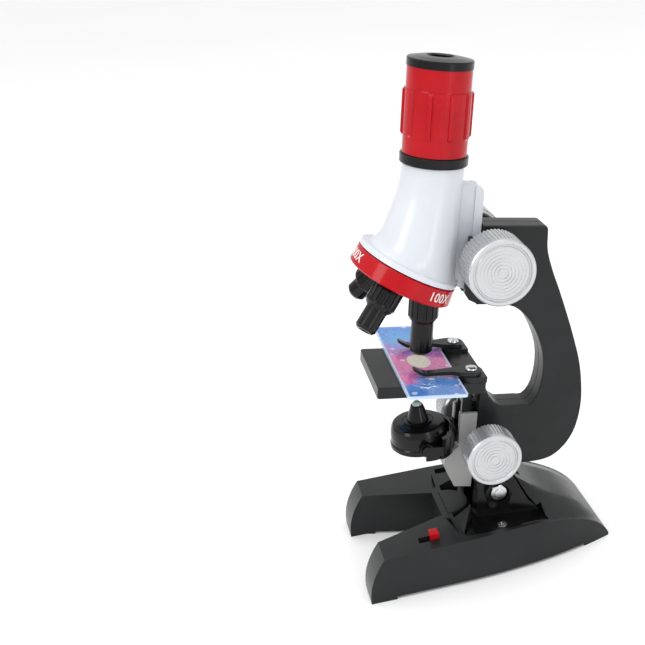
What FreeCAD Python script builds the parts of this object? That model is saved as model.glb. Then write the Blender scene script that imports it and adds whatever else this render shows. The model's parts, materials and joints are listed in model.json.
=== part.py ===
import FreeCAD, Part
import math
import os

# Kids' student microscope: horseshoe base, C-shaped arm that tilts on the base,
# rack focused tube and stage, tilted turret with three objectives, lamp with mirror.
# Lengths in mm, +Z up, -Y towards the open legs of the base, +X the microscope's right.

V = FreeCAD.Vector

# ---- driving dimensions -------------------------------------------------
XS, YS = 4.37, 6.33            # shift that puts the origin under the middle of the whole
TILT = 7.4                   # arm leans back this much at rest
TUBE_Y, TUBE_TOP = -12.48, 222.0
ARM_HALF = 6.5               # half thickness of the C arm
BRK_HALF = 6.7               # half width of the grey rack bracket
PIV_U, PIV_W = 36.6, 35.4    # arm pivot, in the arm's own frame
UP_U, UP_W = 23.5, 144.6     # tube pinion
LO_U, LO_W = 28.6, 59.6      # stage pinion
UP_PITCH, LO_PITCH = 3.6, 4.5
TEETH = 12
SHAFT_R = 2.0
UP_KNOB_R, UP_KNOB_IN, UP_KNOB_OUT = 14.0, 14.4, 30.0
LO_KNOB_R, LO_KNOB_IN, LO_KNOB_OUT = 12.0, 17.2, 29.0
TUR_A = 23.5                 # turret axis lean from the tube axis
TUR_U, TUR_W, TUR_R = -7.8, 139.0, 22.0
APEX_W = TUR_W + (-TUR_U) / math.tan(math.radians(TUR_A)) * 1.0
OBJ_LEN = (APEX_W - 99.0, APEX_W - 104.6, APEX_W - 108.8)
STAGE_TOP, STAGE_T = 92.5, 5.0
LAMP_Y, LAMP_Z = -31.6, 60.0
BASE_FRONT, BASE_REAR = -64.2, 51.6
RUN = 0.06                   # running clearance on radii

ct, st = math.cos(math.radians(TILT)), math.sin(math.radians(TILT))
ca, sa = math.cos(math.radians(TUR_A)), math.sin(math.radians(TUR_A))

os.makedirs("parts", exist_ok=True)
NODES = {}


def keep(name, shape, arm=False):
    s = shape.copy()
    if arm:
        m = FreeCAD.Matrix()
        m.move(V(0, 0, -TUBE_TOP))
        m.rotateX(math.radians(-TILT))
        m.move(V(0, TUBE_Y, TUBE_TOP))
        s = placed(s, m)
    s = placed(s, shift())
    NODES[name] = s
    s.exportStep("parts/%s.step" % name)


def shift():
    m = FreeCAD.Matrix()
    m.move(V(XS, YS, 0))
    return m


def placed(s, m):
    c = s.copy()
    c.Placement = FreeCAD.Placement(m).multiply(c.Placement)
    return c


def poly(pts):
    pts = [V(*p) for p in pts]
    return Part.makePolygon(pts + [pts[0]])


def face(w):
    return Part.Face(w)


def px(pts, x0, x1):
    """prism of (y, z) points between x0 and x1"""
    return face(poly([(x0, a, b) for a, b in pts])).extrude(V(x1 - x0, 0, 0))


def pz(pts, z0, z1):
    return face(poly([(a, b, z0) for a, b in pts])).extrude(V(0, 0, z1 - z0))


def wire_x(segs, x0):
    """closed wire in the plane x = x0; a segment is a list of 2 points (line) or more (smooth curve)"""
    es = []
    for s in segs:
        p = [V(x0, a, b) for a, b in s]
        if len(p) == 2:
            es.append(Part.makeLine(p[0], p[1]))
        else:
            c = Part.BSplineCurve()
            c.interpolate(p)
            es.append(c.toShape())
    return Part.Wire(es)


def sx(segs, x0, x1):
    return face(wire_x(segs, x0)).extrude(V(x1 - x0, 0, 0))


def cx(r, x0, x1, y, z):
    return Part.makeCylinder(r, x1 - x0, V(x0, y, z), V(1, 0, 0))


def cz(r, z0, z1, x=0.0, y=0.0):
    return Part.makeCylinder(r, z1 - z0, V(x, y, z0), V(0, 0, 1))


def box(x0, x1, y0, y1, z0, z1):
    return Part.makeBox(x1 - x0, y1 - y0, z1 - z0, V(x0, y0, z0))


def rev(pts, x=0.0, y=0.0):
    """turned piece about a vertical axis, points (r, z)"""
    return face(poly([(x + r, y, z) for r, z in pts])).revolve(V(x, y, 0), V(0, 0, 1), 360)


def revx(pts, y, z):
    """turned piece about an axis along x, points (x, r)"""
    return face(poly([(a, y, z + r) for a, r in pts])).revolve(V(0, y, z), V(1, 0, 0), 360)


def fuse(*s):
    out = s[0]
    for k in s[1:]:
        out = out.fuse(k)
    return out.removeSplitter()


def mirror_x(s):
    return s.mirror(V(0, 0, 0), V(1, 0, 0))


def gear(teeth, pitch, add, ded, half, x0, x1, y, z, phase=0.0):
    """spur pinion with involute flanks, axis along x"""
    rb = pitch * math.cos(math.radians(20))
    inv = lambda a: math.tan(a) - a
    th0 = math.pi / (2 * teeth) * half
    at = lambda r: th0 + inv(math.radians(20)) - inv(math.acos(min(1.0, rb / r)))
    ro, rr = pitch + add, pitch - ded
    pts = []
    for k in range(teeth):
        c = phase + 2 * math.pi * k / teeth
        rs = [max(rb, rr), pitch - ded * 0.3, pitch, pitch + add * 0.55, ro]
        rs = sorted(set([r for r in rs if r >= max(rb, rr)]))
        left = [(r, c - at(r)) for r in rs]
        right = [(r, c + at(r)) for r in reversed(rs)]
        row = [(rr, c - at(rs[0]))] if rr < rs[0] else []
        row += left + right
        row += [(rr, c + at(rs[0]))] if rr < rs[0] else []
        pts += row
    w = [(y + r * math.cos(t), z + r * math.sin(t)) for r, t in pts]
    return px(w, x0, x1)


def rack_teeth(pitch_line, back, m, add, ded, slim, z0, z1, zref, x0, x1):
    """straight-flanked teeth pointing to +y; a space is centred on zref"""
    p = math.pi * m
    tan = math.tan(math.radians(20))
    pts = [(back, z0)]
    k = math.ceil((z0 + p * 0.5 - zref - p / 2) / p)
    while zref + (k + 0.5) * p + p * 0.5 < z1:
        c = zref + (k + 0.5) * p
        h = p / 4 - slim
        pts += [(pitch_line - ded, c - h - ded * tan), (pitch_line + add, c - h + add * tan),
                (pitch_line + add, c + h - add * tan), (pitch_line - ded, c + h + ded * tan)]
        k += 1
    pts = [pts[0], (pitch_line - ded, z0)] + pts[1:] + [(pitch_line - ded, z1), (back, z1)]
    return px(pts, x0, x1)


def knurled(r, depth, n, x0, x1, y, z):
    w = []
    for k in range(n):
        for f, rr in ((0.0, r), (0.42, r), (0.58, r - depth), (0.84, r - depth)):
            t = 2 * math.pi * (k + f) / n
            w.append((y + rr * math.cos(t), z + rr * math.sin(t)))
    return px(w, x0, x1)


# ======================= base ===========================================
side = [(33.3, BASE_FRONT - 2), (33.3, -46), (33.0, -30), (32.3, -10), (31.0, 3), (28.4, 20),
        (23.9, 38), (19.3, BASE_REAR)]


def plan(inset, z0, z1, y_front, y_rear):
    p = [V(x - inset, y, z0) for x, y in side]
    c = Part.BSplineCurve()
    c.interpolate(p)
    q = [V(-a.x, a.y, a.z) for a in reversed(p)]
    d = Part.BSplineCurve()
    d.interpolate(q)
    w = Part.Wire([c.toShape(), Part.makeLine(p[-1], q[0]), d.toShape(), Part.makeLine(q[-1], p[0])])
    return face(w).extrude(V(0, 0, z1 - z0)).common(box(-60, 60, y_front, y_rear, z0 - 1, z1 + 1))


outline = plan(0, 0, 60, BASE_FRONT - 2, BASE_REAR)
front = [(BASE_FRONT, 0), (-64.1, 4.5), (-63.0, 10.0), (-60.6, 15.8), (-57.0, 21.4)]
top = [(-57.0, 21.4), (-28, 22.2), (2, 22.3), (15, 21.5), (24, 19.7), (36, 15.5), (43, 11.6), (48, 7.0),
       (BASE_REAR, 1.3)]
prof = sx([front, top, [(BASE_REAR, 1.3), (BASE_REAR, 0)], [(BASE_REAR, 0), (BASE_FRONT, 0)]], -40, 40)
deck = outline.common(prof)
secs = [(6, 11.5, 38.3, 16.0, 31.2, 30.2, 21.6), (14, 11.5, 32.4, 17.0, 27.5, 29.3, 21.0),
        (22, 11.5, 26.6, 18.0, 23.8, 27.8, 19.6), (31, 11.5, 21.7, 18.0, 19.9, 25.5, 17.1),
        (40, 11.3, 15.7, 16.0, 14.9, 23.0, 12.9), (47.5, 10.5, 8.2, 14.0, 7.9, 20.3, 6.6)]
wires = []
for y, a, h, m, mh, b, bh in secs:
    wires.append(poly([(-b, y, 3), (b, y, 3), (b, y, bh), (m, y, mh), (a, y, h), (-a, y, h), (-m, y, mh), (-b, y, bh)]))
hump = Part.makeLoft(wires, True, False)
shell = deck.fuse(hump.common(outline))
gap_u = [(19.3, -70), (19.3, -57), (9.6, -25.7), (-9.6, -25.7), (-19.3, -57), (-19.3, -70)]
shell = shell.cut(pz(gap_u, -1, 60))
# open pocket for the hub
pocket_side = [(-21, 19.6), (19.4, 19.6), (19.9, 20.4), (13.2, 28.2), (9.2, 36.0), (7.2, 41), (7.2, 60), (-21, 60)]
pocket_plan = [(-13.2, -21), (13.2, -21), (29.3, -19.6), (29.7, -8), (29.2, 3), (27.6, 13), (26.6, 21),
               (-26.6, 21), (-27.6, 13), (-29.2, 3), (-29.7, -8), (-29.3, -19.6)]
shell = shell.cut(px(pocket_side, -40, 40).common(pz(pocket_plan, 0, 60)))
shell = shell.cut(px([(5.0, 45), (5.0, 30.5), (9.5, 30.5), (13.4, 34.0), (15.5, 45)], -7.1, 7.1))
seat_plan = [(-12.6, -20), (12.6, -20), (27.5, -18), (27.9, -8), (27.4, 3), (25.8, 13), (24.4, 18.6),
             (-24.4, 18.6), (-25.8, 13), (-27.4, 3), (-27.9, -8), (-27.5, -18)]
shell = shell.cut(pz(seat_plan, 16.9, 25))
# hollow underneath, toes and tail tip left solid
cav = plan(2.4, -1, 60, -52.6, 36.5).common(
    sx([[(-52.6, -1), (-52.6, 19.4)], [(-52.6, 19.4), (-22.5, 19.4)], [(-22.5, 19.4), (-22.5, 14.6)],
        [(-22.5, 14.6), (25, 14.6)], [(25, 14.6), (36.5, 10.6)], [(36.5, 10.6), (36.5, -1)],
        [(36.5, -1), (-52.6, -1)]], -40, 40))
keep_u = [(21.8, -75), (21.8, -56.3), (12.0, -23.3), (-12.0, -23.3), (-21.8, -56.3), (-21.8, -75)]
cav = cav.cut(pz(keep_u, -2, 61))
shell = shell.cut(cav)
# relief between the feet
shell = shell.cut(box(-40, 40, -52.9, 37.9, -1, 1.4))
# rounded tongue that locates the hub, and a leaning fin on each side of it
tongue = cz(9.5, 19.8, 22.9, 0, -20.5).cut(box(-12, 12, -32, -22.6, 19, 24))
tongue = tongue.makeChamfer(0.5, [e for e in tongue.Edges if e.BoundBox.ZMin > 22.8 and e.BoundBox.YMax > -21.0])
fin = Part.makeLoft([poly([(14, -21.6, 19.8), (27.5, -20.6, 19.8), (12.5, -12.5, 19.8)]),
                     poly([(14, -21.6, 22.2), (27.5, -20.6, 21.4), (12.5, -12.5, 27.0)])], True, True)
shell = fuse(shell, tongue, fin, mirror_x(fin))
for sgn in (1, -1):
    shell = shell.cut(pz([(sgn * 12.6, -24.6), (sgn * 26.2, -21.9), (sgn * 13.6, -22.7)], 20.3, 30))
# switch slot in the right leg
SW_X, SW_Y = 25.0, -33.2
shell = shell.cut(box(SW_X - 1.9, SW_X + 1.9, SW_Y - 6.9, SW_Y + 2.3, 15, 30))
SCREWS = [(26.6, -45.0), (-26.6, -45.0), (19.4, 30.0), (-19.4, 30.0)]
for x, y in SCREWS:
    post = cz(2.7, 3.35, 19.6 if y < 0 else 13.5, x, y)
    shell = fuse(shell, post).cut(cz(0.95, 3.0, 9.5, x, y))
keep("base_shell", shell)

# underside cover with battery opening
cover = plan(2.7, 1.5, 3.3, -52.3, 36.2).cut(pz([(22.1, -75), (22.1, -56.3), (12.3, -23.0), (-12.3, -23.0), (-22.1, -56.3), (-22.1, -75)], -2, 61))
cover = cover.cut(box(-12.7, 12.7, -20.8, 31.2, 0, 5))
heads = []
for x, y in SCREWS:
    cover = cover.cut(cz(1.2, 0, 5, x, y)).cut(cz(2.4, 0, 2.5, x, y))
    h = fuse(cz(2.15, 1.6, 2.45, x, y), cz(0.9, 2.4, 8.5, x, y))
    heads.append(h.cut(box(x - 1.5, x + 1.5, y - 0.25, y + 0.25, 1.5, 2.0)).cut(box(x - 0.25, x + 0.25, y - 1.5, y + 1.5, 1.5, 2.0)))
keep("base_cover", cover)
keep("cover_screws", Part.makeCompound(heads))
# battery well, open downwards, with the boss for the door's screw
well = box(-12.4, 12.4, -20.6, 25.2, 3.4, 14.2).cut(box(-11.2, 11.2, -19.4, 24.0, 3.3, 13.0))
well = fuse(well, box(-2.8, 2.8, 25.0, 30.0, 3.4, 12.0)).cut(cz(1.0, 3, 10, 0, 28.0))
keep("battery_well", well)
door = box(-12.4, 12.4, -20.5, 30.9, 1.5, 3.1)
door = door.cut(Part.makeCompound([box(-7, 7, y, y + 1.0, 1.4, 2.0) for y in (-16, -13.5, -11)]))
door = door.cut(cz(1.2, 1, 4, 0, 28.0)).cut(cz(2.4, 1, 2.3, 0, 28.0))
keep("battery_door", door)
ds = fuse(cz(2.15, 1.55, 2.25, 0, 28.0), cz(0.9, 2.2, 9.0, 0, 28.0)).cut(box(-1.5, 1.5, 27.75, 28.25, 1.5, 1.95)).cut(
    box(-0.25, 0.25, 26.5, 29.5, 1.5, 1.95))
keep("door_screw", ds)
keep("battery_contacts", Part.makeCompound([box(x, x + 8.0, y, y + 0.4, 4.4, 12) for x in (-9.8, 1.8) for y in (-19.3, 23.5)]))

# slide switch
sw = fuse(box(SW_X - 4.2, SW_X + 4.2, SW_Y - 8.6, SW_Y + 4.0, 13.2, 18.6)).cut(
    box(SW_X - 2.3, SW_X + 2.3, SW_Y - 6.9, SW_Y + 2.3, 15.2, 19))
keep("switch_body", sw)
kn = fuse(box(SW_X - 1.5, SW_X + 1.5, SW_Y - 1.7, SW_Y + 1.7, 15.6, 22.9),
          box(SW_X - 2.1, SW_X + 2.1, SW_Y - 2.0, SW_Y + 2.0, 22.75, 25.6))
kn = kn.makeFillet(0.5, [e for e in kn.Edges if e.BoundBox.ZMin > 25.5])
keep("switch_knob", kn)

# hub: floor, two cheeks with cupped bosses
hub_plan = [(-12.4, -19.8), (12.4, -19.8), (27.3, -17.8), (27.7, -8), (27.2, 3), (25.6, 12.9), (24.2, 18.4),
            (-24.2, 18.4), (-25.6, 12.9), (-27.2, 3), (-27.7, -8), (-27.3, -17.8)]
lip_plan = [(-12.9, -20.8), (12.9, -20.8), (29.1, -19.3), (29.5, -8), (29.0, 3), (27.4, 12.9), (26.5, 19.3),
            (-26.5, 19.3), (-27.4, 12.9), (-29.0, 3), (-29.5, -8), (-29.1, -19.3)]
hub = fuse(pz(hub_plan, 17.0, 20.0), pz(lip_plan, 19.65, 21.0))
PIV_Y = TUBE_Y + PIV_U * ct + (PIV_W - TUBE_TOP) * st
PIV_Z = TUBE_TOP - PIV_U * st + (PIV_W - TUBE_TOP) * ct
cheek_pts = [(-10.9, 20.5), (-9.9, 30), (-8.9, 35.4), (-6.6, 38.6), (-3.0, 39.9), (2.6, 39.9), (6.0, 38.6), (8.5, 36.2), (11.0, 30.6), (13.4, 25.9),
             (18.4, 20.9), (18.4, 20.5)]
lean = Part.makeLoft([poly([(7.1, -13, 20.4), (14.5, -13, 20.4), (18.0, 19, 20.4), (7.1, 19, 20.4)]),
                      poly([(7.1, -13, 41), (12.5, -13, 41), (12.9, 19, 41), (7.1, 19, 41)])], True, True)
cheek = px(cheek_pts, 7.1, 19.0).common(lean)
drop = fuse(cx(6.2, 12.0, 16.2, PIV_Y, PIV_Z), cx(5.2, 12.0, 16.2, PIV_Y, PIV_Z - 3.6),
            px([(PIV_Y - 6.2, PIV_Z), (PIV_Y - 5.2, PIV_Z - 3.6), (PIV_Y + 5.2, PIV_Z - 3.6), (PIV_Y + 6.2, PIV_Z)], 12.0, 16.2))
boss = fuse(cheek, drop)
hub = fuse(hub, boss, mirror_x(boss))
hub = hub.cut(cx(4.7, 14.0, 17, PIV_Y, PIV_Z)).cut(cx(4.7, -17, -14.0, PIV_Y, PIV_Z)).cut(cx(SHAFT_R + 0.1, -20, 20, PIV_Y, PIV_Z))
hub = hub.cut(box(-7.1, 7.1, -10.6, 25, 20.0, 45)).cut(cz(9.8, 19.6, 30, 0, -20.5))
for sgn in (1, -1):
    hub = hub.cut(pz([(sgn * 12.1, -11.9), (sgn * 29.6, -21.2), (sgn * 29.6, -25), (sgn * 14.28, -25)], 19.6, 28))
hub = hub.cut(cz(1.3, 16, 30, 24.3, -1.6)).cut(cz(1.3, 16, 30, -24.3, -1.6)).cut(cz(2.4, 20.2, 30, 24.3, -1.6)).cut(cz(2.4, 20.2, 30, -24.3, -1.6))
keep("hub_housing", hub)
hs = []
for x in (24.3, -24.3):
    h = fuse(cz(2.2, 20.25, 21.3, x, -1.6), cz(1.0, 16.95, 20.3, x, -1.6))
    hs.append(h.cut(box(x - 1.5, x + 1.5, -1.85, -1.35, 20.9, 22)).cut(box(x - 0.25, x + 0.25, -3.1, -0.1, 20.9, 22)))
keep("hub_screws", Part.makeCompound(hs))

# pivot bolt with head on the left and nut on the right
bolt = fuse(cx(SHAFT_R, -15.2, 16.4, PIV_Y, PIV_Z), cx(4.0, -16.3, -14.1, PIV_Y, PIV_Z))
bolt = bolt.cut(box(-17, -15.6, PIV_Y - 4, PIV_Y + 4, PIV_Z - 0.4, PIV_Z + 0.4))
keep("pivot_bolt", bolt)
hexa = [(PIV_Y + 4.1 * math.cos(math.radians(60 * k + 12)), PIV_Z + 4.1 * math.sin(math.radians(60 * k + 12))) for k in range(6)]
nut = px(hexa, 14.1, 16.0).cut(cx(SHAFT_R + 0.02, 13, 18, PIV_Y, PIV_Z))
nut = nut.common(revx([(14.0, 0.5), (14.0, 4.3), (15.4, 4.3), (16.1, 3.4), (16.1, 0.5)], PIV_Y, PIV_Z))
keep("pivot_nut", nut)

# ======================= arm (drawn upright: y is u, z is w) ==============
outer = [(50.1, 154.0), (50.8, 146.6), (54.0, 137.6), (58.2, 128.5), (63.4, 116.6), (68.1, 104.9), (72.0, 93.8), (74.4, 82.6),
         (75.3, 73.6), (74.7, 64.9), (72.9, 57.9), (69.3, 51.6), (64.0, 46.9), (57.5, 44.9)]
inner = [(50.0, 74.2), (53.0, 78.0), (54.5, 84.5), (54.8, 90.9), (54.0, 97.5), (52.2, 103.2), (48.8, 110.2), (44.8, 115.8), (38.5, 120.9)]


def smooth(pts, step=2.2):
    """points along a rounded curve through pts"""
    out = []
    n = len(pts)
    for i in range(n - 1):
        p0, p1, p2, p3 = pts[max(0, i - 1)], pts[i], pts[i + 1], pts[min(n - 1, i + 2)]
        d1, d0, d2 = math.dist(p1, p2), max(1e-6, math.dist(p0, p1)), max(1e-6, math.dist(p2, p3))
        m1 = [(p2[k] - p0[k]) / (d0 + d1) * d1 if i else (p2[k] - p1[k]) for k in (0, 1)]
        m2 = [(p3[k] - p1[k]) / (d1 + d2) * d1 if i < n - 2 else (p2[k] - p1[k]) for k in (0, 1)]
        q = max(1, int(round(d1 / step)))
        for j in range(q):
            t = j / q
            h = (2 * t**3 - 3 * t**2 + 1, t**3 - 2 * t**2 + t, -2 * t**3 + 3 * t**2, t**3 - t**2)
            out.append(tuple(h[0] * p1[k] + h[1] * m1[k] + h[2] * p2[k] + h[3] * m2[k] for k in (0, 1)))
    out.append(pts[-1])
    return out


def inset(pts, d):
    """closed outline moved inwards by d (outline runs clockwise seen from +x with y to the right)"""
    n = len(pts)
    area = sum(pts[i][0] * pts[(i + 1) % n][1] - pts[(i + 1) % n][0] * pts[i][1] for i in range(n))
    sg = 1.0 if area > 0 else -1.0
    out = []
    for i in range(n):
        p0, p1, p2 = pts[i - 1], pts[i], pts[(i + 1) % n]
        a = (p1[0] - p0[0], p1[1] - p0[1])
        b = (p2[0] - p1[0], p2[1] - p1[1])
        la, lb = math.hypot(*a), math.hypot(*b)
        na = (-a[1] / la * sg, a[0] / la * sg)
        nb = (-b[1] / lb * sg, b[0] / lb * sg)
        k = 1 + na[0] * nb[0] + na[1] * nb[1]
        out.append((p1[0] + (na[0] + nb[0]) / k * d, p1[1] + (na[1] + nb[1]) / k * d))
    return out


ARM_OUT = [(47.9, 157.2), (48.9, 156.95), (49.65, 156.3), (50.0, 155.3)] + smooth(outer + [(48.6, 44.4)])
ARM_LOBE = smooth([(48.6, 44.4), (45.8, 41.0), (44.6, 35.4), (42.2, 29.9), (36.6, 27.4), (31.0, 29.9), (28.6, 35.4), (26.3, 42.0)], 1.9)
ARM_IN = smooth([(46.5, 74.2)] + inner + [(31.0, 122.2), (21.4, 122.4)])
ARM_POLY = ([(21.4, 157.2)] + ARM_OUT + ARM_LOBE[1:] + [(26.3, 88.0), (27.7, 88.0), (28.5, 84.4), (30.6, 80.0), (33.4, 76.4), (36.8, 74.2)] + ARM_IN)


def arm_half(sign):
    ws = [poly([(sign * x, a, b) for a, b in inset(ARM_POLY, d)]) for x, d in ((0, 0.35), (0.25, 0), (ARM_HALF - 0.9, 0), (ARM_HALF - 0.25, 0.28), (ARM_HALF, 0.9))]
    f = Part.makeLoft(ws, True, True)
    if f.Volume < 0:
        f.reverse()
    # hollow between the outer wall and the seam
    oc = inset(ARM_POLY, 2.3)
    no, nl, ni = len(ARM_OUT), len(ARM_LOBE), len(ARM_IN)
    o_in = [p for p in oc[4:1 + no - 4]]
    i_in = [p for p in oc[-ni + 4:-7]]
    o_in = [p for p in o_in if 47.3 < p[1] < 141]
    i_in = [p for p in i_in if 76.5 < p[1] < 124]
    ring = o_in + [(48.0, 47.3), (48.0, 71.9)] + i_in + [(40.0, 124.4), (40.0, 141.0)]
    f = f.cut(px(ring, min(0, sign * 4.4), max(0, sign * 4.4)))
    f = f.cut(cx(UP_PITCH + 1.0, -4.6, 4.6, UP_U, UP_W)).cut(cx(LO_PITCH + 1.25, -4.6, 4.6, LO_U, LO_W))
    f = f.cut(box(-4.6, 4.6, 20, UP_U, UP_W - 4.6, UP_W + 4.6)).cut(box(-4.6, 4.6, 25, LO_U, LO_W - 5.7, LO_W + 5.7))
    for u, w in ((UP_U, UP_W), (LO_U, LO_W), (PIV_U, PIV_W)):
        f = f.cut(cx(SHAFT_R + RUN, -20, 20, u, w))
    return f


right = arm_half(1)
left = arm_half(-1)
AS = [(34.0, 150.5), (58.0, 106.0), (60.0, 60.0)]
for u, w in AS:
    right = right.cut(cx(1.0, 0, 5.0, u, w))
    left = left.cut(cx(1.2, -8, 0, u, w)).cut(cx(2.3, -8, -5.2, u, w))
    if (u, w) != AS[0]:
        right = right.fuse(cx(2.6, 0.02, 4.6, u, w).cut(cx(1.0, 0, 5.0, u, w)))
        left = left.fuse(cx(2.9, -5.3, -0.02, u, w).cut(cx(1.2, -8, 0, u, w)).cut(cx(2.3, -8, -5.2, u, w)))
# cheeks that guide the tube's rack
gp = [(15.7, 152.2), (15.7, 127.6), (17.6, 124.8), (21.45, 123.0), (21.45, 152.2)]
guide = px(gp, -6.5, 6.5).cut(box(-5.0, 5.0, 16.9, 22, 110, 160)).cut(box(-4.3, 4.3, 15, 18, 110, 160))
right = fuse(right, guide.common(box(0, 20, 0, 40, 100, 180)))
left = fuse(left, guide.common(box(-20, 0, 0, 40, 100, 180)))
keep("arm_right_half", right, arm=True)
keep("arm_left_half", left, arm=True)
scr = []
for u, w in AS:
    h = fuse(cx(2.15, -5.95, -5.25, u, w), cx(0.95, -5.3, 4.2, u, w))
    scr.append(h.cut(box(-6.2, -5.55, u - 1.5, u + 1.5, w - 0.25, w + 0.25)).cut(box(-6.2, -5.55, u - 0.25, u + 0.25, w - 1.5, w + 1.5)))
keep("arm_screws", Part.makeCompound(scr), arm=True)

# grey bracket: rack channel and chin
bp = [(18.4, 71.5), (26.1, 71.5), (26.1, 40.8), (26.1, 34.3), (18.2, 34.9), (14.5, 41.8), (12.9, 46.0), (12.8, 49.6), (18.6, 55.2)]
brk = px(bp, -BRK_HALF, BRK_HALF)
ed = [e for e in brk.Edges if e.Length > 12 and abs(e.BoundBox.YMin - 26.1) > 0.2 and e.BoundBox.XLength > 12]
brk = brk.makeFillet(0.8, ed)
brk = brk.cut(box(-5.0, 5.0, 19.05, 30, 30, 80)).cut(box(-3.6, 3.6, 17, 20, 55.8, 80))
keep("bracket", brk, arm=True)

# lamp yoke: band round the back of the lamp with two ears
LU = (LAMP_Y - TUBE_Y) * ct - (LAMP_Z - TUBE_TOP) * st
LW = TUBE_TOP + (LAMP_Y - TUBE_Y) * st + (LAMP_Z - TUBE_TOP) * ct
yk = cz(16.2, LW - 5.2, LW + 4.6, 0, LU).cut(cz(14.0, LW - 8, LW + 12, 0, LU))
yk = yk.cut(box(-20, 20, LU - 20, LU + 7.0, LW - 10, LW + 12))
low = cz(15.5, LW - 5.2, LW + 0.2, 0, LU).cut(cz(14.0, LW - 8, LW + 12, 0, LU)).cut(box(-20, 20, LU - 20, LU, LW - 10, LW + 12))
ears = []
for s in (-1, 1):
    e = fuse(cx(3.0, 0, 1.9, LU, LW), box(0, 1.9, LU, LU + 7.5, LW - 3.0, LW + 1.4))
    e.translate(V(13.55 if s > 0 else -15.45, 0, 0))
    ears.append(e)
tie = box(-4.8, 4.8, LU + 15.0, 18.95, LW - 2.0, LW + 5.4).cut(cz(15.2, LW - 8, LW + 12, 0, LU))
yk = fuse(yk, low, ears[0], ears[1])
yk = yk.cut(cx(1.3 + RUN, -20, 20, LU, LW))
yk = fuse(yk, tie)
yk = yk.cut(Part.makeSphere(13.75, V(0, LU, LW)))
yk = yk.cut(box(-20, 20, 18.35, 30, LW - 10, LW + 20).cut(box(-3.4, 3.4, 17, 30, 56.0, 90)))
yk = yk.cut(box(-3.4, 3.4, 19.0, 30, 40, 90)).cut(box(-9, 9, 15.4, 30, 40, 55.4))
keep("lamp_yoke", yk, arm=True)

# ======================= tube ============================================
n_ax = V(0, -sa, -ca)
PL = lambda u: TUR_W - (u - TUR_U) * math.tan(math.radians(TUR_A))


def circ(r, u, w, ax):
    return Part.Wire(Part.makeCircle(r, V(0, u, w), ax))


def tilt_axis(deg):
    return V(0, math.sin(math.radians(deg)), math.cos(math.radians(deg)))


flange_t = 2.2
topc = V(0, TUR_U, TUR_W) - n_ax * flange_t


def cone(d):
    return Part.makeLoft([circ(12.35 - d, 0, 181.5, V(0, 0, 1)), circ(13.0 - d, -0.7, 171.5, tilt_axis(3)), circ(14.3 - d, -2.1, 160.5, tilt_axis(9)),
                          circ(16.2 - d, -3.8, 149.2, tilt_axis(17)),
                          circ(18.2 - d, -5.1, PL(-5.1) + flange_t / ca + 2.6, tilt_axis(TUR_A)),
                          circ(20.0 - d * 1.6, -5.9, PL(-5.9) + flange_t / ca - 0.3, tilt_axis(TUR_A))], True, False)


flange = Part.makeCylinder(TUR_R, flange_t, topc, n_ax)
fe = [e for e in flange.Edges if e.Length > 100]
flange = flange.makeFillet(0.6, [e for e in flange.Edges if abs((e.BoundBox.Center - topc).Length) < 1.0 and len(e.Vertexes) == 1])
cone_out = cone(0)
body = fuse(cone_out, flange)
body = body.cut(cone(2.0))
body = fuse(body, Part.makeCylinder(TUR_R - 3, flange_t, topc, n_ax))
body = body.cut(cz(5.0, 120, 150, 0, 0)).cut(Part.makeCylinder(2.1, 30, topc - n_ax * 12, n_ax))
body = body.cut(cz(10.3, 175, 190, 0, 0))
keep("tube_body", body, arm=True)
# rack rib behind the cone
rib = fuse(px([(10.6, 171.0), (12.0, 173.4), (17.3, 173.4), (17.3, 127.0), (12.9, 127.0), (11.4, 133.5)], -4.0, 4.0),
           px([(17.0, 127.0), (19.15, 127.0), (19.15, 172.8), (18.0, 173.4), (17.0, 173.4)], -4.0, 4.0))
for lo, hi in ((3.8, 4.7), (-4.7, -3.8)):
    rib = rib.fuse(px([(17.3, 127.0), (20.3, 127.0), (20.9, 127.6), (20.9, 170.6), (20.5, 171.9), (19.5, 173.0), (18.2, 173.4), (17.3, 173.4)], lo, hi))
M1 = 2 * UP_PITCH / TEETH
teeth1 = rack_teeth(UP_U - UP_PITCH, 19.0, M1, 0.55, 0.75, 0.07, 128.0, 170.0, UP_W, -3.9, 3.9)
rib = fuse(rib, teeth1)
rib = rib.cut(cone(-0.02)).cut(Part.makeCylinder(TUR_R + 0.02, 6, topc, n_ax))
rib = rib.cut(Part.makeCylinder(60, 40, V(0, TUR_U, TUR_W), n_ax))
sol = sorted(rib.Solids, key=lambda s: -s.Volume)
keep("tube_rack", sol[0], arm=True)
keep("turret_screw", fuse(Part.makeCylinder(2.0, 12.6, V(0, TUR_U, TUR_W) - n_ax * 2.0, n_ax),
                          Part.makeCylinder(4.6, 1.6, V(0, TUR_U, TUR_W) + n_ax * 8.6, n_ax)), arm=True)
keep("index_ring", rev([(10.35, 181.6), (13.6, 181.6), (13.9, 182.0), (13.9, 185.1), (13.6, 185.5), (10.35, 185.5)]), arm=True)
keep("eyepiece_sleeve", rev([(8.6, 176.0), (10.25, 176.0), (10.25, 205.0), (8.6, 205.0)]), arm=True)
keep("field_lens", rev([(0.01, 196.0), (0.01, 198.4), (4.0, 198.0), (8.5, 197.4), (8.5, 196.6), (4.0, 196.2)]).fuse(cz(0.5, 196.1, 198.2)).removeSplitter(), arm=True)

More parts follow.
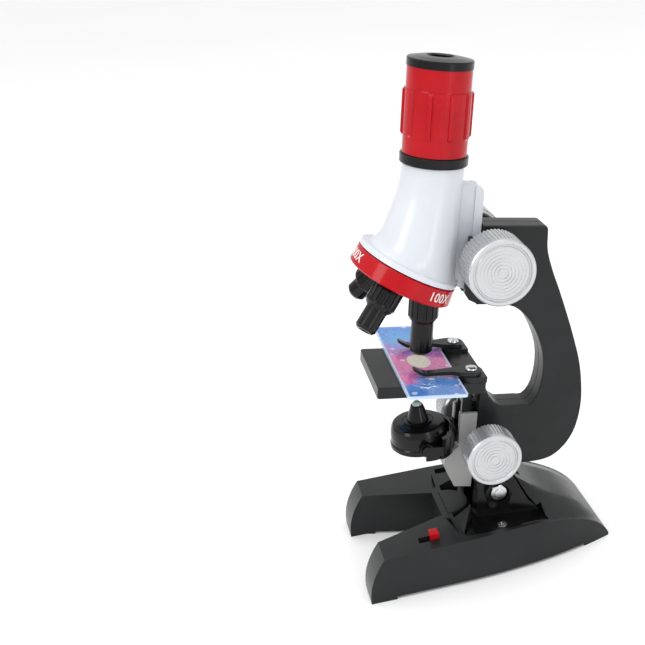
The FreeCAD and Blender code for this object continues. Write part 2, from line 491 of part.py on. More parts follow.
# eyepiece: rotating zoom barrel
rb = rev([(10.32, 185.7), (13.1, 185.7), (13.1, 192.6), (13.1, 210.6), (12.95, 211.0), (12.95, 219.3), (10.32, 219.3)])
pts = []
for k in range(10):
    for f, r in ((-0.5, 13.5), (-0.3, 13.45), (-0.12, 13.45), (0.0 - 0.085, 14.15), (0.085, 14.15), (0.12, 13.45), (0.3, 13.45)):
        t = 2 * math.pi * (k + f) / 10 + math.radians(9.6)
        pts.append((r * math.cos(t), r * math.sin(t)))
grip = pz(pts, 192.6, 210.6).cut(cz(12.0, 190, 212))
grip = grip.common(rev([(5, 192.6), (13.5, 192.6), (14.3, 193.6), (14.3, 209.6), (13.5, 210.6), (5, 210.6)]))
keep("zoom_barrel", fuse(rb, grip), arm=True)
cap = rev([(5.0, 220.9), (10.3, 220.9), (10.3, 219.32), (13.2, 219.32), (13.2, 222.0), (12.9, 222.5), (9.0, 223.2), (5.8, 223.5), (5.0, 222.9)])
keep("eye_cap", cap, arm=True)
keep("eye_lens", fuse(rev([(0.01, 218.7), (0.01, 220.5), (4.5, 220.3), (10.28, 219.9), (10.28, 218.7)]), cz(0.4, 218.8, 220.4)), arm=True)

# ======================= turret ==========================================
pr_ = [(2.1, 0.5), (21.6, 0.5), (22.0, 0.9), (22.7, 7.7), (22.2, 8.2), (2.1, 8.2)]
ring = rev([(r, -h) for r, h in pr_])
mm = FreeCAD.Placement(V(0, TUR_U, TUR_W), FreeCAD.Rotation(V(0, 0, -1), n_ax))
ring.Placement = mm
APEX = V(0, 0, APEX_W)
e_ax = V(0, ca, -sa)
dirs = []
for ph in (0, 120, 240):
    p = math.radians(ph)
    dirs.append(n_ax * ca + (e_ax * math.cos(p) + V(1, 0, 0) * math.sin(p)) * sa)
names = ("objective_long", "objective_medium", "objective_short")
for d in dirs:
    ring = ring.cut(Part.makeCylinder(6.75, 12, APEX + d * 31.4, d))
    ring = ring.cut(Part.makeCylinder(4.5, 20, APEX + d * 20, d))
ring = ring.cut(Part.makeCylinder(19.0, 2.6, V(0, TUR_U, TUR_W) + n_ax * 0.4, n_ax).cut(Part.makeCylinder(5.0, 3, V(0, TUR_U, TUR_W) + n_ax * 0.3, n_ax)))
keep("turret_ring", ring, arm=True)


def along(pts, d):
    """turned piece about direction d from the apex, points (r, distance)"""
    s = rev([(r, -h) for r, h in pts])
    s.Placement = FreeCAD.Placement(APEX, FreeCAD.Rotation(V(0, 0, -1), d))
    return s


for name, d, ln, rr, c_end in zip(names, dirs, OBJ_LEN, (4.8, 4.5, 4.4), (42.0, 41.0, 40.5)):
    bar = along([(2.6, 28.2), (4.45, 28.2), (4.45, 31.6), (5.9, 31.6), (5.9, c_end), (rr + 0.4, c_end + 1.0), (rr, c_end + 1.6), (rr, ln - 1.2), (rr - 1.0, ln), (2.6, ln)], d)
    pp = []
    nf = 14
    for k in range(nf):
        for f, r in ((0.0, 6.5), (0.55, 6.5), (0.62, 6.05), (0.93, 6.05)):
            t = 2 * math.pi * (k + f) / nf
            pp.append((r * math.cos(t), r * math.sin(t)))
    col = pz(pp, -c_end + 0.8, -32.0).cut(cz(5.5, -60, -20))
    col.Placement = FreeCAD.Placement(APEX, FreeCAD.Rotation(V(0, 0, -1), d))
    keep(name, fuse(bar, col), arm=True)
    keep(name + "_lens", along([(0.01, ln - 2.6), (2.6, ln - 2.6), (2.6, ln - 1.2), (0.01, ln - 0.9)], d), arm=True)

# ======================= focus knobs =====================================


def knob(r, x0, x1, u, w, n):
    d = 0.4
    a = knurled(r, d, n, x0 + 0.8, x1 - 2.2, u, w)
    rim = revx([(x1 - 2.2, 0.0), (x1 - 2.2, r), (x1 - 0.5, r), (x1, r - 0.5), (x1, r - 1.7), (x1 - 0.7, r - 2.1), (x1 - 0.7, r - 2.6),
                (x1 - 0.35, r - 3.0), (x1 - 0.2, 0.0)], u, w)
    back = revx([(x0, 0.0), (x0, r - 1.2), (x0 + 0.8, r - 0.4), (x0 + 0.8, 0.0)], u, w)
    hub_ = cx(4.2, x0 - 1.4, x0 + 0.1, u, w)
    s = fuse(a, rim, back, hub_)
    rings = [revx([(x1 - 0.45, q), (x1 - 0.45, q + 0.35), (x1 + 1, q + 0.35), (x1 + 1, q)], u, w) for q in [2.0 + 1.45 * k for k in range(int((r - 4.6) / 1.45) + 1)]]
    s = s.cut(Part.makeCompound(rings))
    s = s.cut(cx(r - 1.9, x0 - 1, x1 - 3.4, u, w).cut(cx(4.2, x0 - 2, x1, u, w)))
    return s.cut(cx(SHAFT_R + 0.02, x0 - 3, x1 - 3.98, u, w))


for nm, r, xi, xo, u, w, n, pit in (("upper", UP_KNOB_R, UP_KNOB_IN, UP_KNOB_OUT, UP_U, UP_W, 56, UP_PITCH),
                                    ("lower", LO_KNOB_R, LO_KNOB_IN, LO_KNOB_OUT, LO_U, LO_W, 50, LO_PITCH)):
    kr = knob(r, xi, xo, u, w, n)
    keep(nm + "_knob_right", kr, arm=True)
    keep(nm + "_knob_left", mirror_x(kr), arm=True)
    m = 2 * pit / TEETH
    hw = 3.45 if nm == "upper" else 3.6
    pin = gear(TEETH, pit, 0.78 * m, 1.15 * m, 0.86, -hw, hw, u, w, phase=math.pi)
    keep(nm + "_pinion", pin.cut(cx(SHAFT_R + 0.02, -5, 5, u, w)), arm=True)
    keep(nm + "_shaft", cx(SHAFT_R, -(xo - 4), xo - 4, u, w), arm=True)

# ======================= stage ===========================================
ZB = STAGE_TOP - STAGE_T
plate = pz([(-20.6, -22.2), (20.6, -22.2), (20.6, 12.5), (19.6, 24.6), (-19.6, 24.6), (-20.6, 12.5)], ZB, STAGE_TOP)
plate = plate.makeFillet(1.2, [e for e in plate.Edges if abs(e.BoundBox.ZLength - STAGE_T) < 1e-6])
plate = plate.makeChamfer(0.4, [e for e in plate.Edges if abs(e.BoundBox.ZMin - STAGE_TOP) < 1e-6 and abs(e.BoundBox.ZMax - STAGE_TOP) < 1e-6])
plate = plate.cut(cz(8.0, ZB - 1, STAGE_TOP + 1)).cut(box(-18.6, 18.6, -20.2, 13.0, ZB - 1, ZB + 2.6).cut(cz(10.0, ZB - 2, ZB + 3)))
tw = []
CLX, CLU = 15.0, 18.6
for s in (-1, 1):
    tw.append(cz(4.8, STAGE_TOP - 0.1, 95.0, s * CLX, CLU).fuse(box(s * CLX - 4.8, s * CLX + 4.8, CLU, 24.6, STAGE_TOP - 0.1, 95.0)))
saddle = px([(19.2, ZB - 5.5), (25.0, ZB - 5.5), (25.0, 92.6), (24.6, 92.6), (14.0, ZB + 0.1), (16.5, ZB - 2.0)], -4.7, 4.7)
back_w = px([(14.5, ZB + 0.2), (24.9, ZB + 0.2), (24.9, STAGE_TOP + 1.0), (17.0, STAGE_TOP + 1.0), (14.5, STAGE_TOP)], -12, 12)
plate = fuse(plate, tw[0], tw[1], saddle, back_w)
for s in (-1, 1):
    plate = plate.cut(cz(1.3, 90, 99, s * CLX, CLU))
plate = plate.cut(cz(0.0001 + 8.0, ZB - 1, STAGE_TOP + 1))
keep("stage_plate", plate, arm=True)
M2 = 2 * LO_PITCH / TEETH
car = box(-4.7, 4.7, 19.35, 23.0, 53.0, ZB - 5.6)
car = car.cut(box(-2.5, 2.5, 18, 21.2, 50, ZB - 12))
carr = fuse(car, rack_teeth(LO_U - LO_PITCH, 22.6, M2, 0.7, 0.95, 0.08, 54.0, 79.5, LO_W, -3.4, 3.4))
keep("stage_rack", carr, arm=True)


def clip(s):
    """arm with a turned-up tip; hinged on its rivet"""
    low_, top_ = 95.3, 97.0
    prof_ = px([(CLU, low_), (CLU, top_), (9.0, top_), (3.0, 96.6), (-0.6, 96.4), (-2.6, 96.7), (-4.6, 97.7), (-6.3, 98.6), (-6.9, 98.4), (-6.7, 97.7),
                (-4.6, 96.2), (-2.6, 95.2), (-0.6, 94.95), (3.0, 95.1), (9.0, low_)], s * CLX - 4.6, s * CLX + 4.6)
    planw = pz([(s * CLX - 4.4, CLU + 0.1), (s * CLX + 4.4, CLU + 0.1), (s * CLX + 3.4, 13.2), (s * CLX + 2.0, 9.4), (s * CLX + 1.6, 4.0), (s * CLX + 1.5, -6.2),
                (s * CLX + 0.8, -7), (s * CLX - 0.8, -7), (s * CLX - 1.5, -6.2), (s * CLX - 1.6, 4.0), (s * CLX - 2.0, 9.4), (s * CLX - 3.4, 13.2)], 90, 100)
    c = fuse(prof_.common(planw), cz(4.4, low_, top_, s * CLX, CLU))
    return c.cut(cz(1.3 + RUN, 90, 100, s * CLX, CLU))


for s, nm in ((1, "right"), (-1, "left")):
    keep("clip_" + nm, clip(s), arm=True)
    rv = rev([(0.0, 90.2), (1.3, 90.2), (1.3, 97.2), (2.6, 97.2), (2.4, 97.8), (1.4, 98.2), (0.0, 98.3)], s * CLX, CLU)
    keep("clip_rivet_" + nm, rv, arm=True)
CARD_X = -4.6
card = box(CARD_X - 37.5, CARD_X + 37.5, -12.3, 12.9, STAGE_TOP + 0.1, STAGE_TOP + 1.3)
card = card.makeFillet(1.5, [e for e in card.Edges if abs(e.BoundBox.ZLength - 1.2) < 1e-6])
keep("specimen_card", card, arm=True)

# ======================= lamp (level at rest) =============================
zb_ = LAMP_Z - 4.4
drum = rev([(0.0, 67.9), (5.9, 67.9), (6.3, 67.6), (6.3, 67.0), (6.8, 67.0), (6.9, 67.4), (10.6, 67.0), (11.3, 66.6), (11.9, 65.5), (12.3, 64.0), (12.5, 62.0),
            (12.5, 58.6), (12.9, 57.9), (12.9, 56.2), (12.4, zb_), (10.9, zb_), (10.9, zb_ + 1.2), (0.0, zb_ + 1.2)], 0, LAMP_Y)
drum = drum.fuse(cx(2.4, -13.25, 13.25, LAMP_Y, LAMP_Z))
drum = drum.cut(cx(1.3, -14, -11.0, LAMP_Y, LAMP_Z)).cut(cx(1.3, 11.0, 14, LAMP_Y, LAMP_Z))
drum = drum.cut(cz(3.2, 64.2, 69.0, 0, LAMP_Y)).removeSplitter()
keep("lamp_drum", drum)
keep("lamp_snout", rev([(3.6, 67.95), (4.8, 67.95), (4.7, 68.7), (2.85, 74.8), (2.6, 75.1), (2.15, 75.1), (2.15, 73.4), (3.6, 69.0)], 0, LAMP_Y))
keep("led", rev([(0.0, 64.2), (2.9, 64.2), (2.9, 65.2), (2.1, 65.4), (2.1, 75.3), (1.85, 76.1), (1.2, 76.7), (0.0, 76.9)], 0, LAMP_Y))
keep("mirror", rev([(0.0, zb_ + 0.2), (10.7, zb_ + 0.2), (10.7, zb_ + 1.15), (0.0, zb_ + 1.15)], 0, LAMP_Y))
pins = []
for s in (-1, 1):
    p = cx(1.3, min(s * 11.2, s * 15.3), max(s * 11.2, s * 15.3), LAMP_Y, LAMP_Z)
    pins.append(p.fuse(cx(2.3, min(s * 15.6, s * 16.6), max(s * 15.6, s * 16.6), LAMP_Y, LAMP_Z)).fuse(cx(1.3, min(s * 15.2, s * 15.7), max(s * 15.2, s * 15.7), LAMP_Y, LAMP_Z)).removeSplitter())
keep("lamp_pins", Part.makeCompound(pins))
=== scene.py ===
import bpy
import bmesh
import json
import math
from mathutils import Vector, Matrix, noise


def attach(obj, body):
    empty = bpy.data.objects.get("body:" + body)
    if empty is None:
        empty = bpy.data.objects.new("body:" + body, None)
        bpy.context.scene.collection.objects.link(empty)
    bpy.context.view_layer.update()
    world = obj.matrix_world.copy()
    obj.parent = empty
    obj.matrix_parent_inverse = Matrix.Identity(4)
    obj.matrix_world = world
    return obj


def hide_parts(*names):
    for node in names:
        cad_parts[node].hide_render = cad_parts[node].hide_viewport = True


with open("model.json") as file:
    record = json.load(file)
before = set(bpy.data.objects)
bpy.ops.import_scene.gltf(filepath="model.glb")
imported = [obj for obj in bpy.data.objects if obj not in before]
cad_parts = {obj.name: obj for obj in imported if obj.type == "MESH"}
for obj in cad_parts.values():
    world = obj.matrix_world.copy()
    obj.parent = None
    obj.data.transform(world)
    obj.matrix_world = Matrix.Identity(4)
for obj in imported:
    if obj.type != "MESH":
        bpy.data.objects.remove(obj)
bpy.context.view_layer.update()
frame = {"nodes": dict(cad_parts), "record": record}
N = frame["nodes"]
BODY_OF = {n: b for b, ns in frame["record"]["behaviour"]["bodies"].items() for n in ns}

XS, YS = 4.37, 6.33
TILT = math.radians(7.4)
CT, ST = math.cos(TILT), math.sin(TILT)


def arm(x, u, w):
    """point of the arm's own upright frame (mm) in the row frame (m)"""
    return Vector((x + XS, -12.48 + u * CT + (w - 222.0) * ST + YS, 222.0 - u * ST + (w - 222.0) * CT)) / 1000.0


def base(x, y, z):
    return Vector((x + XS, y + YS, z)) / 1000.0


UD = Vector((0, CT, -ST))
WD = Vector((0, ST, CT))
XD = Vector((1, 0, 0))

# ---------------------------------------------------------------- materials


class Mat:
    def __init__(self, name):
        self.m = bpy.data.materials.new(name)
        self.m.use_nodes = True
        self.t = self.m.node_tree
        self.t.nodes.clear()
        self.out = self.t.nodes.new("ShaderNodeOutputMaterial")
        self.b = self.t.nodes.new("ShaderNodeBsdfPrincipled")
        self.t.links.new(self.b.outputs[0], self.out.inputs[0])
        tc = self.t.nodes.new("ShaderNodeTexCoord")
        self.co = tc.outputs["Object"]

    def node(self, kind, **kw):
        n = self.t.nodes.new(kind)
        for k, v in kw.items():
            if k in n.inputs:
                n.inputs[k].default_value = v
            else:
                setattr(n, k, v)
        return n

    def link(self, a, b):
        self.t.links.new(a, b)

    def noise(self, scale, detail=3.0, rough=0.5):
        n = self.node("ShaderNodeTexNoise")
        n.inputs["Scale"].default_value = scale
        n.inputs["Detail"].default_value = detail
        n.inputs["Roughness"].default_value = rough
        self.link(self.co, n.inputs["Vector"])
        return n

    def rng(self, src, lo, hi, a=0.3, b=0.7):
        r = self.node("ShaderNodeMapRange")
        r.inputs["From Min"].default_value = a
        r.inputs["From Max"].default_value = b
        r.inputs["To Min"].default_value = lo
        r.inputs["To Max"].default_value = hi
        self.link(src, r.inputs["Value"])
        return r.outputs["Result"]

    def ramp(self, src, stops):
        r = self.node("ShaderNodeValToRGB")
        e = r.color_ramp.elements
        while len(e) < len(stops):
            e.new(0.5)
        for k, (p, c) in zip(e, stops):
            k.position = p
            k.color = (*c, 1)
        self.link(src, r.inputs["Fac"])
        return r.outputs["Color"]


def plastic(name, col, rough, spread=0.05, grain=1500.0, bump=0.02, coat=0.0, vary=0.05, ior=1.49, mottle=60.0):
    """moulded plastic: faint flow mottle in the colour, fine grain in the gloss and surface"""
    k = Mat(name)
    b = k.b
    big = k.noise(mottle, 3, 0.55)
    c0 = tuple(max(0.0, c * (1 - vary)) for c in col)
    c1 = tuple(min(1.0, c * (1 + vary) + 0.002) for c in col)
    k.link(k.ramp(big.outputs["Fac"], [(0.3, c0), (0.7, c1)]), b.inputs["Base Color"])
    mid = k.noise(mottle * 5, 4, 0.6)
    k.link(k.rng(mid.outputs["Fac"], max(0.02, rough - spread), rough + spread), b.inputs["Roughness"])
    g = k.noise(grain, 2, 0.5)
    bm = k.node("ShaderNodeBump")
    bm.inputs["Strength"].default_value = bump
    bm.inputs["Distance"].default_value = 0.0004
    k.link(g.outputs["Fac"], bm.inputs["Height"])
    k.link(bm.outputs["Normal"], b.inputs["Normal"])
    b.inputs["IOR"].default_value = ior
    if coat:
        b.inputs["Coat Weight"].default_value = coat
        b.inputs["Coat Roughness"].default_value = 0.06
    return k


def metal(name, col, rough, spread=0.06, scale=900.0, bump=0.02):
    k = Mat(name)
    b = k.b
    b.inputs["Metallic"].default_value = 1.0
    n = k.noise(scale * 0.3, 4, 0.6)
    k.link(k.ramp(n.outputs["Fac"], [(0.3, tuple(c * 0.93 for c in col)), (0.7, col)]), b.inputs["Base Color"])
    k.link(k.rng(n.outputs["Fac"], max(0.03, rough - spread), rough + spread), b.inputs["Roughness"])
    f = k.noise(scale, 2, 0.5)
    bm = k.node("ShaderNodeBump")
    bm.inputs["Strength"].default_value = bump
    bm.inputs["Distance"].default_value = 0.0002
    k.link(f.outputs["Fac"], bm.inputs["Height"])
    k.link(bm.outputs["Normal"], b.inputs["Normal"])
    return k


def math_node(k, op, a, b=None, clamp=False):
    n = k.node("ShaderNodeMath")
    n.operation = op
    n.use_clamp = clamp
    for q, v in enumerate((a, b)):
        if v is None:
            continue
        if isinstance(v, (int, float)):
            n.inputs[q].default_value = v
        else:
            k.link(v, n.inputs[q])
    return n.outputs[0]


def mix_col(k, fac, a, b):
    n = k.node("ShaderNodeMix")
    n.data_type = "RGBA"
    if isinstance(fac, (int, float)):
        n.inputs[0].default_value = fac
    else:
        k.link(fac, n.inputs[0])
    for q, v in ((6, a), (7, b)):
        if isinstance(v, tuple):
            n.inputs[q].default_value = (*v, 1)
        else:
            k.link(v, n.inputs[q])
    return n.outputs[2]


def scuffed(k, base_sock, lift, scale=260.0):
    """fine handling marks: sparse pale hairlines laid over a colour"""
    st = k.node("ShaderNodeTexNoise")
    st.inputs["Scale"].default_value = scale
    st.inputs["Detail"].default_value = 6.0
    st.inputs["Distortion"].default_value = 1.5
    k.link(k.co, st.inputs["Vector"])
    f = k.rng(st.outputs["Fac"], 0.0, lift, 0.66, 0.80)
    return mix_col(k, f, base_sock, (0.85, 0.86, 0.88))


M = {}
M["charcoal"] = plastic("charcoal_satin", (0.0125, 0.0135, 0.0142), 0.30, 0.025, 2600, 0.05, vary=0.18, mottle=40.0, ior=1.32)
M["black"] = plastic("black_gloss", (0.0040, 0.0040, 0.0044), 0.16, 0.025, 2000, 0.03, vary=0.15, ior=1.33)
M["red"] = plastic("red_gloss", (0.41, 0.003, 0.008), 0.15, 0.04, 1200, 0.03, coat=0.06, vary=0.08, ior=1.28)
M["white"] = plastic("white_gloss", (0.61, 0.635, 0.68), 0.22, 0.04, 1200, 0.03, coat=0.15, vary=0.02)
M["light_grey"] = plastic("warm_grey", (0.34, 0.34, 0.335), 0.36, 0.06, 1500, 0.10)
sv = metal("silver_satin", (0.56, 0.57, 0.58), 0.30, 0.04, 700, 0.04)
sv.b.inputs["Metallic"].default_value = 0.7
M["silver"] = sv
M["steel"] = metal("plated_steel", (0.70, 0.71, 0.72), 0.18, 0.05, 700, 0.03)
M["copper"] = metal("contact_brass", (0.78, 0.62, 0.30), 0.25)
for key, lift in (("charcoal", 0.012), ("black", 0.012), ("red", 0.012), ("light_grey", 0.03)):
    k = M[key]
    src = k.b.inputs["Base Color"].links[0].from_socket
    k.link(scuffed(k, src, lift), k.b.inputs["Base Color"])
g = Mat("lens_glass")
g.b.inputs["Base Color"].default_value = (0.9, 0.96, 1.0, 1)
g.b.inputs["Transmission Weight"].default_value = 0.9
g.b.inputs["IOR"].default_value = 1.5
gn = g.noise(300)
g.link(g.rng(gn.outputs["Fac"], 0.02, 0.06), g.b.inputs["Roughness"])
M["glass"] = g
M["mirror"] = metal("mirror_face", (0.86, 0.88, 0.9), 0.05, 0.02, 300, 0.004)
le = Mat("led_clear")
ln = le.noise(500)
le.link(le.ramp(ln.outputs["Fac"], [(0.3, (0.45, 0.62, 0.62)), (0.7, (0.62, 0.80, 0.80))]), le.b.inputs["Base Color"])
le.b.inputs["Roughness"].default_value = 0.10
le.b.inputs["Transmission Weight"].default_value = 0.35
M["led"] = le

# printed plastic card: blue ends, pink middle, pale window and soft shapes
cd = Mat("printed_card")
sep = cd.node("ShaderNodeSeparateXYZ")
cd.link(cd.co, sep.inputs[0])
mm_x = math_node(cd, "MULTIPLY_ADD", sep.outputs[0], 1000.0)
mm_x.node.inputs[2].default_value = -XS
mm_u = math_node(cd, "MULTIPLY_ADD", sep.outputs[1], 1000.0 / CT)
mm_u.node.inputs[2].default_value = 22.66 / CT
warp = cd.noise(90, 3, 0.5)
wob = cd.rng(warp.outputs["Fac"], -7.0, 7.0)
along = math_node(cd, "ADD", mm_x, wob)
tint = cd.ramp(cd.rng(along, 0.0, 1.0, -42.0, 33.0), [(0.0, (0.05, 0.25, 0.62)), (0.22, (0.07, 0.34, 0.70)), (0.38, (0.42, 0.20, 0.58)),
                                                      (0.50, (0.74, 0.17, 0.42)), (0.70, (0.72, 0.14, 0.40)), (0.84, (0.12, 0.30, 0.70)), (1.0, (0.04, 0.20, 0.55))])
vor = cd.node("ShaderNodeTexVoronoi")
vor.inputs["Scale"].default_value = 150.0
cd.link(cd.co, vor.inputs["Vector"])
spots = cd.rng(vor.outputs["Distance"], 1.0, 0.0, 0.16, 0.22)
tint = mix_col(cd, math_node(cd, "MULTIPLY", spots, 0.75), tint, (0.72, 0.70, 0.86))
swirl = cd.node("ShaderNodeTexNoise")
swirl.inputs["Scale"].default_value = 130.0
swirl.inputs["Detail"].default_value = 1.0
swirl.inputs["Distortion"].default_value = 2.2
cd.link(cd.co, swirl.inputs["Vector"])
band = math_node(cd, "ABSOLUTE", math_node(cd, "SUBTRACT", swirl.outputs["Fac"], 0.52))
line = cd.rng(band, 1.0, 0.0, 0.010, 0.022)
tint = mix_col(cd, math_node(cd, "MULTIPLY", line, 0.7), tint, (0.16, 0.04, 0.34))
curl = cd.node("ShaderNodeTexNoise")
curl.inputs["Scale"].default_value = 85.0
curl.inputs["Detail"].default_value = 0.5
curl.inputs["Distortion"].default_value = 3.0
cd.link(cd.co, curl.inputs["Vector"])
cb = math_node(cd, "ABSOLUTE", math_node(cd, "SUBTRACT", curl.outputs["Fac"], 0.44))
cx = math_node(cd, "POWER", math_node(cd, "ABSOLUTE", math_node(cd, "DIVIDE", math_node(cd, "ADD", mm_x, -20.0), 6.5)), 2.0)
cu = math_node(cd, "POWER", math_node(cd, "ABSOLUTE", math_node(cd, "DIVIDE", math_node(cd, "ADD", mm_u, 2.0), 6.0)), 2.0)
ends = cd.rng(math_node(cd, "ADD", cx, cu), 1.0, 0.0, 0.7, 1.1)
tint = mix_col(cd, math_node(cd, "MULTIPLY", cd.rng(cb, 0.95, 0.0, 0.012, 0.026), ends), tint, (0.86, 0.90, 0.95))
rx = math_node(cd, "POWER", math_node(cd, "ABSOLUTE", math_node(cd, "DIVIDE", math_node(cd, "ADD", mm_x, 2.0), 7.0)), 2.0)
ru = math_node(cd, "POWER", math_node(cd, "ABSOLUTE", math_node(cd, "DIVIDE", mm_u, 5.0)), 2.0)
rr = math_node(cd, "ADD", rx, ru)
tint = mix_col(cd, cd.rng(rr, 1.0, 0.0, 0.92, 1.08), tint, (0.72, 0.69, 0.56))
dx = math_node(cd, "ABSOLUTE", math_node(cd, "ADD", mm_x, 4.6))
du = math_node(cd, "ABSOLUTE", math_node(cd, "ADD", mm_u, -0.3))
edge = math_node(cd, "MAXIMUM", cd.rng(dx, 0.0, 1.0, 36.4, 36.8), cd.rng(du, 0.0, 1.0, 11.6, 12.0))
tint = mix_col(cd, edge, tint, (0.50, 0.62, 0.80))
cd.link(tint, cd.b.inputs["Base Color"])
cn = cd.noise(600, 3, 0.5)
cd.link(cd.rng(cn.outputs["Fac"], 0.18, 0.30), cd.b.inputs["Roughness"])
cd.b.inputs["Coat Weight"].default_value = 0.3
cd.b.inputs["Coat Roughness"].default_value = 0.08
M["card"] = cd

slots = {s["node"]: s["material_slot"] for s in frame["record"]["subparts"]}
for n, o in N.items():
    o.data.materials.clear()
    o.data.materials.append(M[slots[n]].m)


# ---------------------------------------------------------------- helpers for pieces


def auto_smooth(o, deg=32.0):
    me = o.data
    me.polygons.foreach_set("use_smooth", [True] * len(me.polygons))
    me.set_sharp_from_angle(angle=math.radians(deg))


def new_piece(name, bm, body, mat, replace=(), smooth=32.0):
    me = bpy.data.meshes.new(name)
    bm.to_mesh(me)
    bm.free()
    o = bpy.data.objects.new(name, me)
    bpy.context.scene.collection.objects.link(o)
    me.materials.append(mat.m if isinstance(mat, Mat) else mat)
    if smooth:
        auto_smooth(o, smooth)
    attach(o, body)
    if replace:
        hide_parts(*replace)
    return o


def apply_mods(o):
    dg = bpy.context.evaluated_depsgraph_get()
    me = bpy.data.meshes.new_from_object(o.evaluated_get(dg))
    old = o.data
    o.modifiers.clear()
    o.data = me
    bpy.data.meshes.remove(old)


def soften(node, width, segs=2, angle=30.0, mat=None, diss=0.6):
    """the node's shape again, with its moulded edges rounded by width mm"""
    src = N[node]
    bm = bmesh.new()
    bm.from_mesh(src.data)
    bmesh.ops.remove_doubles(bm, verts=bm.verts, dist=2e-6)
    bmesh.ops.dissolve_limit(bm, angle_limit=math.radians(diss), verts=bm.verts, edges=bm.edges, delimit={"NORMAL"})
    me = bpy.data.meshes.new(node + "_soft")
    bm.to_mesh(me)
    bm.free()
    o = bpy.data.objects.new(node + "_moulded", me)
    bpy.context.scene.collection.objects.link(o)
    me.materials.append((mat or M.get(slots[node], M["charcoal"])).m)
    b = o.modifiers.new("edge", "BEVEL")
    b.width = width / 1000.0
    b.segments = segs
    b.limit_method = "ANGLE"
    b.angle_limit = math.radians(angle)
    b.use_clamp_overlap = True
    b.harden_normals = False
    b.miter_outer = "MITER_ARC"
    apply_mods(o)
    auto_smooth(o, 38)
    wn = o.modifiers.new("flat", "WEIGHTED_NORMAL")
    wn.mode = "FACE_AREA"
    wn.keep_sharp = True
    apply_mods(o)
    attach(o, BODY_OF[node])
    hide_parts(node)
    return o


for n, o in N.items():
    auto_smooth(o, 30)

soften("base_shell", 0.7, 2, 34)
soften("arm_right_half", 0.35, 2, 40)
soften("arm_left_half", 0.35, 2, 40)
soften("stage_plate", 0.35, 2, 40)
soften("bracket", 0.35, 2, 40)
soften("hub_housing", 0.3, 2, 40)

# generic magnification marks on the turret ring
AL = math.radians(23.5)
SA, CA = math.sin(AL), math.cos(AL)


def ring_point(phi, h, lift):
    r = 22.0 + 0.7 * (h - 0.9) / 6.8 + lift
    return arm(r * math.sin(phi), -7.8 - SA * h + r * math.cos(phi) * CA, 139.0 - CA * h - r * math.cos(phi) * SA)


mark = plastic("mark_white", (0.78, 0.74, 0.72), 0.4, 0.05, 1500, 0.02)
for text, ph in (("100X", 57.0), ("400X", 177.0), ("1200X", 297.0)):
    cu = bpy.data.curves.new("t", "FONT")
    cu.body = text
    cu.size = 5.4
    cu.align_x = "CENTER"
    cu.align_y = "CENTER"
    cu.offset = 0.06
    cu.space_character = 1.06
    to = bpy.data.objects.new("t", cu)
    bpy.context.scene.collection.objects.link(to)
    bpy.context.view_layer.update()
    me = bpy.data.meshes.new_from_object(to.evaluated_get(bpy.context.evaluated_depsgraph_get()))
    bpy.data.objects.remove(to)
    bm = bmesh.new()
    bm.from_mesh(me)
    bmesh.ops.triangulate(bm, faces=bm.faces)
    bmesh.ops.subdivide_edges(bm, edges=[e for e in bm.edges if e.calc_length() > 1.2], cuts=2)
    bmesh.ops.triangulate(bm, faces=bm.faces)
    top = list(bm.faces)
    ext = bmesh.ops.extrude_face_region(bm, geom=top)
    up_v = {v for v in ext["geom"] if isinstance(v, bmesh.types.BMVert)}
    for v in bm.verts:
        phi = math.radians(ph) - v.co.x / 22.4
        v.co = ring_point(phi, 4.3 - v.co.y, 0.05 if v in up_v else -0.12)
    bmesh.ops.recalc_face_normals(bm, faces=bm.faces)
    new_piece("mark_" + text, bm, "turret", mark, smooth=0)

# ---------------------------------------------------------------- stage set
fl = bpy.data.meshes.new("floor")
s = 6.0
fl.from_pydata([(-s, -s, 0), (s, -s, 0), (s, s, 0), (-s, s, 0)], [], [(0, 1, 2, 3)])
floor = bpy.data.objects.new("floor", fl)
bpy.context.scene.collection.objects.link(floor)
fm = Mat("floor_pale")
fnz = fm.noise(3.0)
fm.link(fm.ramp(fnz.outputs["Fac"], [(0.3, (0.93, 0.93, 0.935)), (0.7, (0.95, 0.95, 0.95))]), fm.b.inputs["Base Color"])
fm.b.inputs["Roughness"].default_value = 0.75
fm.b.inputs["Specular IOR Level"].default_value = 0.2
fl.materials.append(fm.m)

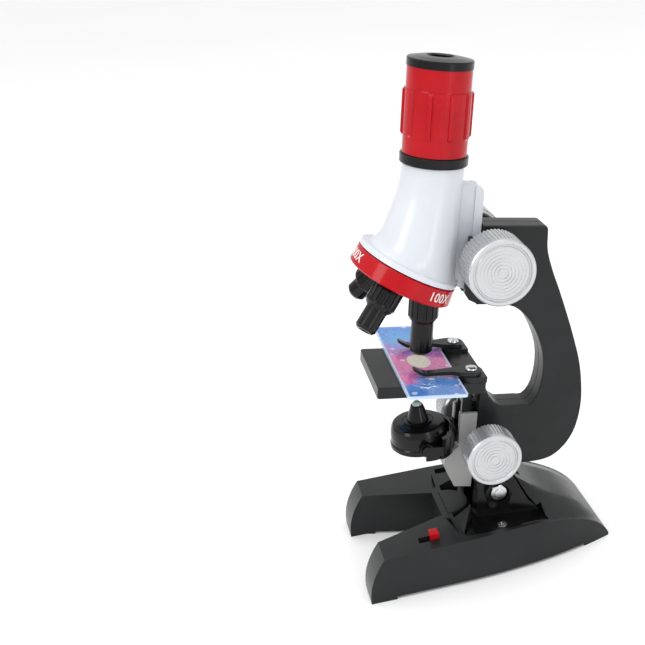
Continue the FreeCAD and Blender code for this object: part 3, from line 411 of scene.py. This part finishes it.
w = bpy.data.worlds.new("studio")
bpy.context.scene.world = w
w.use_nodes = True
wt = w.node_tree
bg = wt.nodes["Background"]
gen = wt.nodes.new("ShaderNodeTexCoord")
sepw = wt.nodes.new("ShaderNodeSeparateXYZ")
rampw = wt.nodes.new("ShaderNodeValToRGB")
wt.links.new(gen.outputs["Generated"], sepw.inputs[0])
wt.links.new(sepw.outputs[2], rampw.inputs["Fac"])
for el, (ps, v) in zip([rampw.color_ramp.elements[0], rampw.color_ramp.elements[1], rampw.color_ramp.elements.new(0.5)], ((0.0, 0.62), (0.85, 1.0), (0.35, 0.72))):
    el.position = ps
    el.color = (v, v, v, 1)
wt.links.new(rampw.outputs["Color"], bg.inputs[0])
bg.inputs[1].default_value = 1.16


def area(name, loc, target, size, power, sy=None):
    d = bpy.data.lights.new(name, "AREA")
    d.shape = "RECTANGLE"
    d.size = size
    d.size_y = sy or size
    d.energy = power
    o = bpy.data.objects.new(name, d)
    o.location = loc
    o.rotation_euler = (Vector(target) - Vector(loc)).to_track_quat("-Z", "Y").to_euler()
    bpy.context.scene.collection.objects.link(o)
    return o


area("key", (0.45, -0.85, 0.75), (0, 0, 0.1), 0.40, 4.0, 0.8)
area("side", (0.95, 0.45, 0.45), (0, 0, 0.1), 0.22, 1.8, 0.9)
area("top", (-0.1, 0.0, 1.2), (0, 0, 0.0), 0.9, 3.5)

# ---------------------------------------------------------------- camera
a, e, roll = math.radians(74.98), math.radians(23.90), math.radians(-2.58)
back = Vector((math.sin(a) * math.cos(e), -math.cos(a) * math.cos(e), math.sin(e)))
right = Vector((math.cos(a), math.sin(a), 0))
up = back.cross(right)
r2 = right * math.cos(roll) + up * math.sin(roll)
u2 = -right * math.sin(roll) + up * math.cos(roll)
cam = bpy.data.cameras.new("camera")
co = bpy.data.objects.new("camera", cam)
bpy.context.scene.collection.objects.link(co)
loc = (Vector((-13.67 + XS, YS, 100.0)) + back * 461.53) / 1000.0
mw = Matrix((r2, u2, back)).transposed().to_4x4()
mw.translation = loc
co.matrix_world = mw
cam.sensor_width = 36.0
cam.lens = 1030.65 / 645 * 36
cam.shift_x = -(475 - 322.5) / 645
cam.shift_y = (330 - 322.5) / 645
bpy.context.scene.camera = co
bpy.context.scene.view_settings.view_transform = "Standard"
